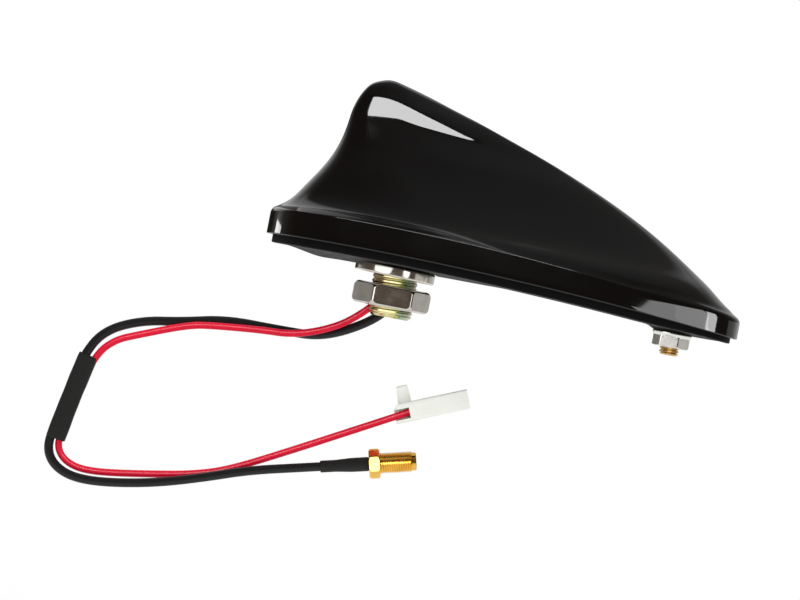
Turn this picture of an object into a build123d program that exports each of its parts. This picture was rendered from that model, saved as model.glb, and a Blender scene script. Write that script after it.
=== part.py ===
from build123d import *
import os
from math import atan2, degrees, radians, sqrt, tan

# Shark fin roof aerial, in millimetres: +X points at the nose, +Z away from the roof.
# The origin is on the main stud's axis, in the plane where the seal ring meets the roof.

# Cover in plan: an egg shape, widest a little behind the stud
cover_rear = -41.7
cover_nose = 106.6
cover_wide_x = -4.0
cover_half_width = 31.0
cover_height = 56.6
cover_wall = 2.2

# The cover's lower edge and the top of its skirt are both bowed along the roof
crown_x = -8.5
rim_height = 3.9
rim_radius = 1260.0
skirt_top_height = 11.9
skirt_top_radius = 800.0
skirt_round = 0.9

# Fin: level sections, each an egg shape. Those of the foot are given by how far they draw in
# from the cover's plan, as (level, at the rear, at the nose, shift of the widest place, at the sides)
foot_sections = [
    (2.0, 0.5, 0.4, 0.0, 0.4),
    (5.0, 0.6, 1.3, 6.0, 0.7),
    (8.0, 0.8, 5.1, 14.0, 1.2),
    (12.2, 2.6, 10.6, 26.0, 4.4),
]
# Above the foot, (share of the cover's height, rear end, front end, where it is widest, half width)
fin_sections = [
    (0.274, -36.0, 91.2, 18.0, 22.6),
    (0.353, -32.8, 84.3, 9.0, 18.8),
    (0.477, -28.3, 72.3, -1.0, 14.8),
    (0.618, -24.8, 55.2, -4.0, 11.1),
    (0.760, -23.3, 34.2, -6.0, 7.8),
    (0.866, -22.0, 16.0, -7.5, 6.0),
    (0.936, -20.0, 2.6, -10.0, 4.4),
    (0.979, -17.4, -6.0, -12.0, 2.9),
    (1.0, -14.4, -10.6, -12.5, 1.3),
]

# Room inside the cover: a ledge over the skirt, then every other section of the fin, drawn in
room_ledge = 6.0
room_roof_radius = 900.0
room_rear_wall = 2.6
room_nose_wall = 4.0
room_side_wall = 2.5

# Base plate, gasket and the screws that hold the cover down
plate_gap = 0.25
plate_thickness = 3.5
gasket_inset = 2.0
gasket_thickness = 2.6
seal_outer_radius = 27.0
seal_inner_radius = 13.5
washer_recess = 0.8
front_pad_radius = 7.5
front_pad_level = -3.0
cover_screw_places = [(-27.0, 11.5), (56.0, 18.5)]
cover_screw_radius = 1.4
cover_screw_head_radius = 2.7
cover_screw_head_height = 2.0
cover_screw_grip = 4.0
cover_boss_radius = 3.0
screw_clearance = 0.1
screw_tip_gap = 0.5
screw_head_sink = 0.3

# Main stud: hollow, with a cable slot on the side away from the nose
stud_radius = 7.0
stud_bore_radius = 4.6
stud_end = -15.0
stud_chamfer = 1.0
stud_slot_width = 5.4
stud_slot_top = -8.5
stud_boss_radius = 13.0
stud_seat = 9.0
stud_head_flats = 19.0
stud_head_height = 3.0
thread_gap = 0.05
hole_gap = 0.3

# Washer and nut on the main stud; the washer hangs loose and leans
washer_radius = 12.15
washer_thickness = 2.5
washer_round = 0.7
washer_lean = 2.9
nut_flats = 21.0
nut_height = 6.8
nut_top = -5.3
nut_chamfer = 1.8

# Front stud and its flange nut
front_stud_x = 86.8
front_stud_radius = 3.0
front_stud_end = -10.0
front_stud_chamfer = 0.6
front_boss_radius = 6.5
front_seat = 5.0
front_head_flats = 10.0
front_head_height = 3.5
front_nut_flats = 10.0
front_nut_height = 4.6
front_flange_radius = 6.15
front_flange_height = 1.3
front_nut_turn = -10.0

# Amplifier board, its screws and shield, and the upright radiator board
board_bottom = 12.6
board_thickness = 1.6
board_rear = -16.0
board_front = 70.0
board_rear_half = 15.0
board_front_half = 9.0
board_corner = 2.0
pillar_places = [(-11.0, 11.5), (64.0, 5.5)]
pillar_radius = 2.6
board_screw_radius = 1.25
board_screw_head_radius = 2.3
board_screw_head_height = 1.6
board_screw_grip = 5.0
can_length = 24.0
can_width = 15.0
can_height = 5.0
can_wall = 0.4
can_x = 46.0
radiator_thickness = 1.2
radiator_headroom = 6.4
radiator_corner = 2.0
# Its outline, as (place along the roof, share of its height)
radiator_outline = [(-13.0, 0.0), (30.0, 0.0), (30.0, 0.67), (-9.0, 1.0), (-16.0, 0.93), (-17.5, 0.61)]

# Leads: coax outside, power wire inside, as they lie in the bundle
coax_diameter = 2.8
wire_diameter = 2.2
arc_share = 0.45
coax_route = [
    (2.0, 1.0, board_bottom), (2.0, 1.0, 1.5), (1.6, 1.1, -12.7), (-16.9, 1.4, -24.8),
    (-32.5, 1.4, -25.2), (-48.8, 1.4, -25.2), (-62.0, 1.4, -28.4), (-74.1, 1.3, -30.4), (-84.5, 0.7, -35.3),
    (-89.4, 0.0, -43.1), (-92.8, 0.0, -58.0), (-94.6, 0.0, -68.1), (-95.3, -0.2, -73.7),
    (-93.4, -0.6, -78.0), (-88.9, -1.0, -80.9), (-82.3, -1.3, -81.9), (-72.2, -1.4, -80.9),
    (-59.2, -1.4, -78.2), (-45.9, -1.4, -74.0), (-33.0, -1.3, -69.3), (-16.0, -1.2, -65.1),
    (0.7, -1.2, -60.9),
]
wire_route = [
    (-1.4, -1.3, board_bottom), (-1.4, -1.3, 3.0), (-1.9, -1.3, -8.6), (-10.8, -1.2, -18.1),
    (-19.2, -1.2, -22.9), (-28.6, -1.2, -25.9), (-37.3, -1.2, -26.2), (-51.8, -1.2, -27.7),
    (-59.4, -1.1, -28.9),
    (-73.9, -1.0, -34.7), (-81.3, -0.6, -37.9), (-86.3, 0.0, -43.7), (-89.9, 0.0, -58.1),
    (-91.8, 0.0, -68.5), (-92.4, 0.2, -73.0), (-90.2, 0.6, -76.6), (-86.0, 1.0, -78.6),
    (-80.3, 1.2, -78.9), (-72.7, 1.2, -78.0), (-60.3, 1.2, -75.9), (-50.0, 1.2, -73.9),
    (-39.4, 1.2, -70.5), (-21.8, 1.2, -61.1), (-4.8, 1.2, -51.7), (13.5, 1.2, -41.55),
]

# Heat-shrink sleeve round both leads
sleeve_route = [(-88.2, 0.0, -44.0), (-91.2, 0.0, -57.6), (-93.4, 0.0, -71.1)]
sleeve_wall = 0.55
lead_gap = 0.1

# Coax connector: a threaded jack, crimped and sleeved
jack_gap = 2.2
jack_hex_flats = 8.0
jack_hex_length = 3.4
jack_hex_chamfer = 0.7
jack_thread_radius = 3.175
jack_thread_length = 9.6
jack_tip_radius = 2.75
jack_tip_length = 1.6
jack_mouth_radius = 2.3
jack_mouth_depth = 1.9
jack_bore_radius = 2.05
jack_web = 1.0
jack_tail_radius = 1.4
contact_radius = 0.64
contact_hole_radius = 0.47
contact_hole_depth = 3.0
ferrule_wall = 0.35
ferrule_length = 7.0
boot_length = 15.0
boot_wall = 0.35
boot_taper = 1.5

# Power terminal: a moulded housing with a raised latch tab, a side channel for the wire, and the
# blade inside
housing_rise = 23.0
housing_back = 6.3
housing_length = 23.3
housing_height = 6.0
housing_depth = 5.0
housing_wall = 0.9
housing_round = 0.6
housing_slant = 1.6
channel_length = 4.7
channel_top = 1.3
channel_bottom = -2.0
tab_start = 1.7
tab_length = 4.2
tab_height = 5.3
tab_taper = 0.5
tab_depth = 3.0
blade_gap = 0.4
blade_length = 11.5
blade_width = 2.3
blade_thickness = 0.8
crimp_length = 4.0
crimp_radius = 1.1


def egg(rear, front, wide_x, half_width, level=0.0):
    """A level face of two half ellipses that meet where it is widest."""
    middle = (wide_x, 0)
    back = EllipticalCenterArc(middle, wide_x - rear, half_width, start_angle=90, arc_size=180)
    ahead = EllipticalCenterArc(middle, front - wide_x, half_width, start_angle=270, arc_size=180)
    return Pos(0, 0, level) * make_face([back, ahead])


def plan(inset):
    """The cover's plan, drawn in all round."""
    return egg(cover_rear + inset, cover_nose - inset, cover_wide_x, cover_half_width - inset)


def column(face, bottom, top):
    return Pos(0, 0, bottom) * extrude(face, top - bottom)


def roll(height, radius):
    """A great roller across the roof, its crest at this height over the crown."""
    return Pos(crown_x, 0, height - radius) * Cylinder(radius, roll_length, rotation=(90, 0, 0))


def rod(x, y, bottom, top, radius):
    return Pos(x, y, (bottom + top) / 2) * Cylinder(radius, top - bottom)


def turned(*profile):
    """A solid turned about Z from points of (radius, height)."""
    return revolve(Plane.XZ * make_face(Polyline(*profile, close=True)), Axis.Z)


def hexagon(flats, bottom, top, chamfer_depth):
    """A hexagon bar along Z with both ends turned down at its corners."""
    corner = flats / sqrt(3)
    cut = corner - flats / 2 + chamfer_depth / 2
    blank = turned(
        (0, bottom), (corner - cut, bottom), (corner, bottom + chamfer_depth),
        (corner, top - chamfer_depth), (corner - cut, top), (0, top),
    )
    return column(RegularPolygon(corner, 6), bottom, top) & blank


def both_sides(places):
    return [(x, side * y) for x, y in places for side in (1, -1)]


def lead(route, radius):
    """A tube along a route whose corners are rounded as far as their runs allow."""
    points = [Vector(*p) for p in route]
    runs = [b - a for a, b in zip(points, points[1:])]
    radii = []
    for before, after in zip(runs, runs[1:]):
        shorter = min(before.length, after.length)
        radii.append(arc_share * shorter / tan(radians(before.get_angle(after)) / 2))
    path = FilletPolyline(*points, radius=radii)
    start = Plane(origin=path @ 0, z_dir=path % 0)
    return sweep(start * Circle(radius), path=path), radii, path


# Widths that follow from the cover and the leads
roll_length = 4 * cover_half_width
above = cover_height + cover_wall
coax_radius = coax_diameter / 2
wire_radius = wire_diameter / 2
plate_inset = cover_wall + plate_gap
plate_top_roll = roll(rim_height + plate_thickness, rim_radius + plate_thickness)
rim_roll = roll(rim_height, rim_radius)
board_top = board_bottom + board_thickness
screw_places = both_sides(cover_screw_places)
board_screw_places = both_sides(pillar_places)


def rim_at(x):
    """Height of the cover's lower edge at this place along the roof."""
    return rim_height - rim_radius + sqrt(rim_radius**2 - (x - crown_x) ** 2)


def cover_screw_seat(x):
    """Where a cover screw's head bears, inside the base plate."""
    return rim_at(x) + cover_screw_head_height + screw_head_sink


# Cover: a lofted fin on a skirt, hollowed out, with bosses for its screws
sections = [
    egg(cover_rear + back, cover_nose - ahead, cover_wide_x + shift, cover_half_width - narrow, level)
    for level, back, ahead, shift, narrow in foot_sections
]
upper_sections = [(share * cover_height, *egg_sizes) for share, *egg_sizes in fin_sections]
sections += [egg(*egg_sizes, level) for level, *egg_sizes in upper_sections]
fin = loft(sections)
skirt = column(plan(0), -above, above) & roll(skirt_top_height, skirt_top_radius)
skirt = fillet(skirt.edges().group_by(Axis.Z)[-1], skirt_round)
body = skirt + fin
room_front = cover_nose - room_nose_wall
room_sections = [egg(cover_rear + room_ledge, room_front, cover_wide_x, cover_half_width - room_ledge)]
for level, rear, front, wide_x, half in upper_sections[:-2:2]:
    rear += room_rear_wall
    front -= room_nose_wall
    room_sections.append(egg(rear, front, wide_x, half - room_side_wall, level))
fin_shell = body - loft(room_sections, ruled=True)
fin_shell -= column(plan(cover_wall), -above, above) & roll(skirt_top_height - cover_wall, room_roof_radius)
for x, y in screw_places:
    boss = rod(x, y, 0, above, cover_boss_radius) & body
    fin_shell += boss - plate_top_roll
fin_shell -= rim_roll
for x, y in screw_places:
    tip = rim_at(x) + plate_thickness + cover_screw_grip
    fin_shell -= rod(x, y, 0, tip + screw_tip_gap, cover_screw_radius + screw_clearance)

# Base plate: flush with the cover's lower edge, with seats for both studs and the board
base_plate = column(plan(plate_inset), -above, above) & plate_top_roll
base_plate += rod(0, 0, 0, stud_seat, stud_boss_radius)
base_plate += rod(front_stud_x, 0, rim_at(front_stud_x), front_seat, front_boss_radius)
for x, y in board_screw_places:
    base_plate += rod(x, y, rim_at(x), board_bottom, pillar_radius)
base_plate -= rim_roll
base_plate -= rod(0, 0, stud_end, above, stud_radius + thread_gap)
base_plate -= rod(front_stud_x, 0, front_stud_end, above, front_stud_radius + thread_gap)
for x, y in board_screw_places:
    foot_of_hole = board_bottom - board_screw_grip - screw_tip_gap
    base_plate -= rod(x, y, foot_of_hole, above, board_screw_radius + screw_clearance)
for x, y in screw_places:
    base_plate -= rod(x, y, -above, above, cover_screw_radius + screw_clearance)
    base_plate -= rod(x, y, -above, cover_screw_seat(x), cover_screw_head_radius + screw_clearance)

# Gasket: a rim that follows the roof, with a flat seal ring and a flat pad for the front nut
gasket_roll = roll(rim_height - gasket_thickness, rim_radius - gasket_thickness)
roof_gasket = column(plan(gasket_inset), -above, above) & rim_roll
roof_gasket -= gasket_roll
roof_gasket += rod(0, 0, 0, above, seal_outer_radius) & rim_roll
roof_gasket += rod(front_stud_x, 0, front_pad_level, above, front_pad_radius) & rim_roll
roof_gasket -= rod(0, 0, -above, washer_recess, seal_inner_radius)
roof_gasket -= rod(0, 0, -above, above, stud_radius + hole_gap)
roof_gasket -= rod(front_stud_x, 0, -above, above, front_stud_radius + hole_gap)

# Main stud, slotted at its end for the leads
head_top = stud_seat + stud_head_height
main_stud = turned(
    (0, stud_end), (stud_radius - stud_chamfer, stud_end), (stud_radius, stud_end + stud_chamfer),
    (stud_radius, head_top), (0, head_top),
)
main_stud += hexagon(stud_head_flats, stud_seat, head_top, stud_chamfer / 2)
main_stud -= rod(0, 0, stud_end, head_top, stud_bore_radius)
slot_middle = (stud_end + stud_slot_top) / 2
slot = Box(stud_radius, stud_slot_width, stud_slot_top - stud_end)
main_stud -= Pos(-stud_radius, 0, slot_middle) * slot

# Washer, leaning until its rear edge meets the gasket
washer = turned(
    (stud_radius + hole_gap, -washer_thickness), (washer_radius, -washer_thickness), (washer_radius, 0),
    (stud_radius + hole_gap, 0),
)
washer = fillet(washer.edges().group_by(SortBy.LENGTH)[-1], washer_round)
washer = Rot(0, washer_lean, 0) * washer
clamp_washer = Pos(0, 0, washer_recess - washer.bounding_box().max.Z) * washer

# Nuts and the front stud
nut_bottom = nut_top - nut_height
stud_nut = hexagon(nut_flats, nut_bottom, nut_top, nut_chamfer)
stud_nut -= rod(0, 0, nut_bottom, nut_top, stud_radius + thread_gap)
front_head_top = front_seat + front_head_height
front_stud = turned(
    (0, front_stud_end), (front_stud_radius - front_stud_chamfer, front_stud_end),
    (front_stud_radius, front_stud_end + front_stud_chamfer), (front_stud_radius, front_head_top),
    (0, front_head_top),
)
front_stud += hexagon(front_head_flats, front_seat, front_head_top, front_stud_chamfer)
front_stud = Pos(front_stud_x, 0, 0) * front_stud
front_nut = hexagon(front_nut_flats, -front_nut_height, 0, front_stud_chamfer)
front_nut += turned(
    (0, 0), (front_flange_radius, 0), (front_flange_radius, -front_flange_height / 2),
    (front_nut_flats / 2, -front_flange_height), (0, -front_flange_height),
)
front_nut -= rod(0, 0, -front_nut_height, 0, front_stud_radius + thread_gap)
front_nut = Pos(front_stud_x, 0, front_pad_level) * Rot(0, 0, front_nut_turn) * front_nut


def screw(x, y, seat, grip, radius, head_radius, head_height, upward):
    """A round-headed screw whose head bears at seat."""
    way = 1 if upward else -1
    shank = rod(x, y, *sorted((seat, seat + way * grip)), radius)
    return shank + rod(x, y, *sorted((seat, seat - way * head_height)), head_radius)


shell_screws = Compound([
    screw(
        x, y, cover_screw_seat(x), rim_at(x) + plate_thickness + cover_screw_grip - cover_screw_seat(x),
        cover_screw_radius, cover_screw_head_radius, cover_screw_head_height, True,
    ).solid()
    for x, y in screw_places
])
board_screws = Compound([
    screw(
        x, y, board_top, board_thickness + board_screw_grip,
        board_screw_radius, board_screw_head_radius, board_screw_head_height, False,
    ).solid()
    for x, y in board_screw_places
])

# Electronics inside the fin
board_edge = Polyline(
    (board_rear, -board_rear_half), (board_front, -board_front_half),
    (board_front, board_front_half), (board_rear, board_rear_half), close=True,
)
board_face = make_face(board_edge)
board_face = fillet(board_face.vertices(), board_corner)
amplifier_board = column(board_face, board_bottom, board_top)
for x, y in board_screw_places:
    amplifier_board -= rod(x, y, board_bottom, board_top, board_screw_radius + screw_clearance)
can_middle = board_top + can_height / 2
shield_can = Pos(can_x, 0, can_middle) * Box(can_length, can_width, can_height)
can_room = Box(can_length - 2 * can_wall, can_width - 2 * can_wall, can_height)
shield_can -= Pos(can_x, 0, can_middle - can_wall) * can_room
radiator_height = cover_height - radiator_headroom - board_top
radiator_points = [(x, share * radiator_height) for x, share in radiator_outline]
radiator_face = make_face(Polyline(*radiator_points, close=True))
radiator_top = radiator_face.vertices().sort_by(Axis.Y)[2:]
radiator_face = fillet(radiator_top, radiator_corner)
radiator_board = extrude(Plane.XZ * radiator_face, radiator_thickness / 2, both=True)
radiator_board = Pos(0, 0, board_top) * radiator_board

# Leads and the sleeve that gathers them
coax_cable, coax_radii, coax_path = lead(coax_route, coax_radius)
power_wire, wire_radii, wire_path = lead(wire_route, wire_radius)
sleeve_width = coax_diameter + wire_diameter + lead_gap + 2 * sleeve_wall
sleeve_depth = coax_diameter + 2 * sleeve_wall
sleeve_points = [Vector(*p) for p in sleeve_route]
sleeve_runs = [b - a for a, b in zip(sleeve_points, sleeve_points[1:])]
sleeve_turn = sleeve_runs[0].get_angle(sleeve_runs[1])
sleeve_bend = arc_share * sleeve_runs[0].length / tan(radians(sleeve_turn) / 2)
sleeve_path = FilletPolyline(*sleeve_points, radius=[sleeve_bend])
sleeve_start = Plane(origin=sleeve_path @ 0, x_dir=(0, 1, 0), z_dir=sleeve_path % 0)
sleeve_section = SlotOverall(sleeve_width, sleeve_depth, rotation=90)
bundle_sleeve = sweep(sleeve_start * sleeve_section, path=sleeve_path)
bundle_sleeve -= lead(coax_route, coax_radius + lead_gap)[0]
bundle_sleeve -= lead(wire_route, wire_radius + lead_gap)[0]

# Coax connector, built along Z from the end of the coax and then laid along its lead
hex_back = jack_gap
hex_front = hex_back + jack_hex_length
thread_front = hex_front + jack_thread_length
tip_front = thread_front + jack_tip_length
mouth_floor = tip_front - jack_mouth_depth
bore_floor = hex_back + jack_web
jack_body = hexagon(jack_hex_flats, hex_back, hex_front, jack_hex_chamfer)
jack_body += turned(
    (0, 0), (jack_tail_radius, 0), (jack_tail_radius, hex_back), (jack_thread_radius, hex_back),
    (jack_thread_radius, thread_front), (jack_tip_radius, thread_front), (jack_tip_radius, tip_front),
    (0, tip_front),
)
jack_body -= rod(0, 0, mouth_floor, tip_front, jack_mouth_radius)
jack_body -= rod(0, 0, bore_floor, tip_front, jack_bore_radius)
jack_body -= rod(0, 0, 0, tip_front, contact_radius)
jack_insulator = rod(0, 0, bore_floor, mouth_floor, jack_bore_radius)
jack_insulator -= rod(0, 0, bore_floor, mouth_floor, contact_radius)
jack_contact = rod(0, 0, 0, mouth_floor, contact_radius)
jack_contact -= rod(0, 0, mouth_floor - contact_hole_depth, mouth_floor, contact_hole_radius)
ferrule_inner = coax_radius + lead_gap / 2
ferrule_outer = ferrule_inner + ferrule_wall
ferrule_back = hex_back - ferrule_length
crimp_ferrule = rod(0, 0, ferrule_back, hex_back, ferrule_outer)
crimp_ferrule -= rod(0, 0, ferrule_back, hex_back, ferrule_inner)
boot_back = hex_back - boot_length
step_back = ferrule_back - boot_taper
boot_inner = ferrule_outer + lead_gap / 2
neck_outer = ferrule_inner + boot_wall
boot_outer = boot_inner + boot_wall
connector_boot = turned(
    (ferrule_inner, boot_back), (neck_outer, boot_back), (neck_outer, step_back), (boot_outer, ferrule_back),
    (boot_outer, hex_back), (boot_inner, hex_back), (boot_inner, ferrule_back), (ferrule_inner, step_back),
)
jack_run = Vector(*coax_route[-1]) - Vector(*coax_route[-2])
jack_turn = degrees(atan2(jack_run.X, jack_run.Z))
jack_place = Pos(*coax_route[-1]) * Rot(0, jack_turn, 0)

# Power terminal, built along X from its rear face and then laid along its lead
housing_middle = housing_length / 2
terminal_housing = Pos(housing_middle, 0, 0) * Box(housing_length, housing_depth, housing_height)
terminal_housing = fillet(terminal_housing.edges().filter_by(Axis.X), housing_round)
housing_top = housing_height / 2
tab_end = tab_start + tab_length
tab_top = housing_top + tab_height
tab_edge = Polyline(
    (tab_start, 0), (tab_end, 0), (tab_end, housing_top), (tab_end - tab_taper / 2, tab_top),
    (tab_start + tab_taper, tab_top), (tab_start, housing_top), close=True,
)
tab = extrude(Plane.XZ * make_face(tab_edge), tab_depth / 2, both=True)
terminal_housing += fillet(tab.edges().group_by(Axis.Z)[-1], housing_round)
slant_edge = Polyline((0, housing_top - housing_slant), (housing_slant, housing_top), (0, housing_top), close=True)
terminal_housing -= extrude(Plane.XZ * make_face(slant_edge), housing_depth, both=True)
inside_depth = housing_depth - 2 * housing_wall
inside_height = housing_height - 2 * housing_wall
inside_length = housing_length - channel_length
inside_middle = channel_length + inside_length / 2
terminal_housing -= Pos(inside_middle, 0, 0) * Box(inside_length, inside_depth, inside_height)
channel_height = channel_top - channel_bottom
channel_level = (channel_top + channel_bottom) / 2
channel = Box(channel_length, housing_depth, channel_height)
terminal_housing -= Pos(channel_length / 2, -housing_wall, channel_level) * channel
blade_start = housing_back + blade_gap
crimp = Cylinder(crimp_radius, crimp_length, rotation=(0, 90, 0))
wire_terminal = Pos(blade_start + crimp_length / 2, 0, 0) * crimp
blade_middle = blade_start + crimp_length + blade_length / 2
wire_terminal += Pos(blade_middle, 0, 0) * Box(blade_length, blade_thickness, blade_width)
wire_end = Vector(*wire_route[-1])
housing_place = Pos(wire_end) * Rot(0, -housing_rise, 0) * Pos(-housing_back, 0, 0)

nodes = {
    "fin_shell": fin_shell,
    "base_plate": base_plate,
    "roof_gasket": roof_gasket,
    "main_stud": main_stud,
    "clamp_washer": clamp_washer,
    "stud_nut": stud_nut,
    "front_stud": front_stud,
    "front_nut": front_nut,
    "shell_screws": shell_screws,
    "amplifier_board": amplifier_board,
    "board_screws": board_screws,
    "shield_can": shield_can,
    "radiator_board": radiator_board,
    "coax_cable": coax_cable,
    "power_wire": power_wire,
    "bundle_sleeve": bundle_sleeve,
    "connector_boot": jack_place * connector_boot,
    "crimp_ferrule": jack_place * crimp_ferrule,
    "jack_body": jack_place * jack_body,
    "jack_insulator": jack_place * jack_insulator,
    "jack_contact": jack_place * jack_contact,
    "terminal_housing": housing_place * terminal_housing,
    "wire_terminal": housing_place * wire_terminal,
}
os.makedirs("parts", exist_ok=True)
for name, shape in nodes.items():
    export_step(shape, f"parts/{name}.step")
for name, radii, path in (("coax", coax_radii, coax_path), ("power wire", wire_radii, wire_path)):
    print(name, "length", round(path.length, 1), "bend radii", [round(r, 1) for r in radii])
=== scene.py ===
import math

import bmesh
import bpy
from mathutils import Matrix, Vector


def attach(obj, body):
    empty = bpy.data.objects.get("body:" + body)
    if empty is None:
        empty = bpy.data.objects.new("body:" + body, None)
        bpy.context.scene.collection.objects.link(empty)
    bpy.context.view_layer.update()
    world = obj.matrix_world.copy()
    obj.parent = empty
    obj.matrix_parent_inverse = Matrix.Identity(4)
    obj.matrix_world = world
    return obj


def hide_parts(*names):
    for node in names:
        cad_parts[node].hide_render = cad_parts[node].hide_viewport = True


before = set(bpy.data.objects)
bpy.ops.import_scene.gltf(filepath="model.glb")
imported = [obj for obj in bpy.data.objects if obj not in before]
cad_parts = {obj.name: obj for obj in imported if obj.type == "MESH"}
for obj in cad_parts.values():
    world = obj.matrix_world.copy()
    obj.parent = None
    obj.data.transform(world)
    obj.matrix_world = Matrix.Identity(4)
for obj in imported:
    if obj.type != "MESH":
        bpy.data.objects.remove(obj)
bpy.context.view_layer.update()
scene = bpy.context.scene
scene.view_settings.view_transform = "Standard"
mm = 0.001
print("frame:", len(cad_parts), "nodes")


# Camera: level with the aerial, which dips to the right in the picture
shot = {"middleX": 2.58, "middleZ": -9.06, "width": 246.15, "dip": 11.0, "lens": 200.0, "sensor": 36.0}

lens = bpy.data.cameras.new("camera")
lens.lens = shot["lens"]
lens.sensor_width = shot["sensor"]
dip = math.radians(shot["dip"])
pictureRight = Vector((math.cos(dip), 0, math.sin(dip)))
pictureUp = Vector((-math.sin(dip), 0, math.cos(dip)))
towardsCamera = Vector((0, -1, 0))
cameraDistance = shot["width"] * mm * shot["lens"] / shot["sensor"]
cameraTurn = Matrix((pictureRight, pictureUp, towardsCamera)).transposed().to_4x4()
cameraPlace = Vector((shot["middleX"] * mm, 0, shot["middleZ"] * mm)) + towardsCamera * cameraDistance
camera = bpy.data.objects.new("camera", lens)
camera.matrix_world = Matrix.Translation(cameraPlace) @ cameraTurn
scene.collection.objects.link(camera)
scene.camera = camera


# Node helpers: sums, ramps, places on a piece and their parts along each axis
def mathNode(tree, operation, *values):
    node = tree.nodes.new("ShaderNodeMath")
    node.operation = operation
    for socket, value in zip(node.inputs, values):
        if isinstance(value, (int, float)):
            socket.default_value = value
        else:
            tree.links.new(value, socket)
    return node.outputs["Value"]


def rampNode(tree, value, fromLow, fromHigh, toLow=0.0, toHigh=1.0, kind="LINEAR"):
    node = tree.nodes.new("ShaderNodeMapRange")
    node.interpolation_type = kind
    ends = {"From Min": fromLow, "From Max": fromHigh, "To Min": toLow, "To Max": toHigh}
    for label, number in ends.items():
        node.inputs[label].default_value = number
    tree.links.new(value, node.inputs["Value"])
    return node.outputs["Result"]


def colorNode(tree, value, stops):
    node = tree.nodes.new("ShaderNodeValToRGB")
    keys = node.color_ramp.elements
    while len(keys) < len(stops):
        keys.new(0.5)
    for key, (spot, color) in zip(keys, stops):
        key.position = spot
        key.color = (*color, 1)
    tree.links.new(value, node.inputs["Fac"])
    return node.outputs["Color"]


def placeNode(tree, source="Object"):
    return tree.nodes.new("ShaderNodeTexCoord").outputs[source]


def splitNode(tree, vector):
    node = tree.nodes.new("ShaderNodeSeparateXYZ")
    tree.links.new(vector, node.inputs["Vector"])
    return [node.outputs[axis] for axis in "XYZ"]


# Finishes: each starts from a plain shader and gets its own grain
noiseSpread = (0.3, 0.7)  # where most of a noise's values lie


def finish(name, color, roughness, metallic=0.0, specular=0.5, ior=1.5):
    material = bpy.data.materials.new(name)
    material.use_nodes = True
    shader = material.node_tree.nodes["Principled BSDF"]
    shader.inputs["Base Color"].default_value = (*color, 1)
    shader.inputs["Roughness"].default_value = roughness
    shader.inputs["Metallic"].default_value = metallic
    shader.inputs["Specular IOR Level"].default_value = specular
    shader.inputs["IOR"].default_value = ior
    return material


def feed(material, source, socket):
    shader = material.node_tree.nodes["Principled BSDF"]
    material.node_tree.links.new(source, shader.inputs[socket])


def grain(material, scale, detail=3.0):
    tree = material.node_tree
    noise = tree.nodes.new("ShaderNodeTexNoise")
    noise.inputs["Scale"].default_value = scale
    noise.inputs["Detail"].default_value = detail
    tree.links.new(placeNode(tree), noise.inputs["Vector"])
    return noise.outputs["Fac"]


def roughen(material, scale, low, high):
    wander = rampNode(material.node_tree, grain(material, scale), *noiseSpread, low, high)
    feed(material, wander, "Roughness")


def tint(material, source, stops):
    feed(material, colorNode(material.node_tree, source, stops), "Base Color")


def mottle(material, scale, low, high, spread=noiseSpread):
    tint(material, grain(material, scale), list(zip(spread, (low, high))))


def dent(material, scale, depth, strength=1.0, detail=3.0):
    tree = material.node_tree
    bump = tree.nodes.new("ShaderNodeBump")
    bump.inputs["Strength"].default_value = strength
    bump.inputs["Distance"].default_value = depth * mm
    tree.links.new(grain(material, scale, detail), bump.inputs["Height"])
    feed(material, bump.outputs["Normal"], "Normal")


def acrossBar(material, low, high, wander):
    # 0 to 1 along X between two places, wandering with a noise
    tree = material.node_tree
    x, y, z = splitNode(tree, placeNode(tree))
    blend = tree.nodes.new("ShaderNodeMix")
    blend.inputs["Factor"].default_value = wander
    tree.links.new(rampNode(tree, x, low * mm, high * mm), blend.inputs["A"])
    tree.links.new(grain(material, 260, 2.0), blend.inputs["B"])
    return blend.outputs["Result"]


def glossBlack():
    material = finish("glossBlack", (0.0012, 0.0012, 0.0014), 0.06)
    roughen(material, 45, 0.04, 0.075)
    dent(material, 260, 0.004, 0.3, 1.0)
    return material


def sealRubber():
    material = finish("sealRubber", (0.004, 0.004, 0.0042), 0.54, specular=0.1)
    roughen(material, 300, 0.46, 0.62)
    dent(material, 2200, 0.008, 0.5)
    return material


def brightNickel():
    material = finish("brightNickel", (0.6, 0.57, 0.52), 0.14, 1.0)
    roughen(material, 420, 0.1, 0.2)
    mottle(material, 160, (0.56, 0.53, 0.48), (0.68, 0.65, 0.6))
    dent(material, 1400, 0.006, 0.4)
    return material


def yellowPassivate():
    # The colour runs across the bar from brown and yellow to green and blue-green. This is partly the film's
    # own tint and partly painted reflection and shade: darker brown towards -X, brightest yellow near the
    # middle and blue-green on the right, where the film's glints and shade fall in the front view
    material = finish("yellowPassivate", (0.72, 0.6, 0.24), 0.2, 1.0)
    tint(material, acrossBar(material, -7.0, 7.0, 0.15), [
        (0.1, (0.45, 0.34, 0.2)), (0.3, (0.74, 0.62, 0.32)), (0.52, (0.8, 0.74, 0.38)),
        (0.64, (0.56, 0.62, 0.26)), (0.76, (0.33, 0.46, 0.31)), (0.86, (0.5, 0.48, 0.36)),
    ])
    roughen(material, 700, 0.14, 0.26)
    return material


def warmBrass():
    material = finish("warmBrass", (0.6, 0.4, 0.16), 0.2, 1.0)
    mottle(material, 500, (0.5, 0.3, 0.1), (0.74, 0.52, 0.22))
    roughen(material, 900, 0.16, 0.3)
    return material


def brightZinc():
    material = finish("brightZinc", (0.78, 0.78, 0.74), 0.2, 1.0)
    mottle(material, 380, (0.7, 0.71, 0.66), (0.84, 0.84, 0.8))
    roughen(material, 800, 0.16, 0.3)
    return material


def cableJacket():
    material = finish("cableJacket", (0.01, 0.01, 0.0105), 0.42, specular=0.3)
    roughen(material, 500, 0.36, 0.5)
    dent(material, 2600, 0.02, 0.5)
    return material


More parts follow.
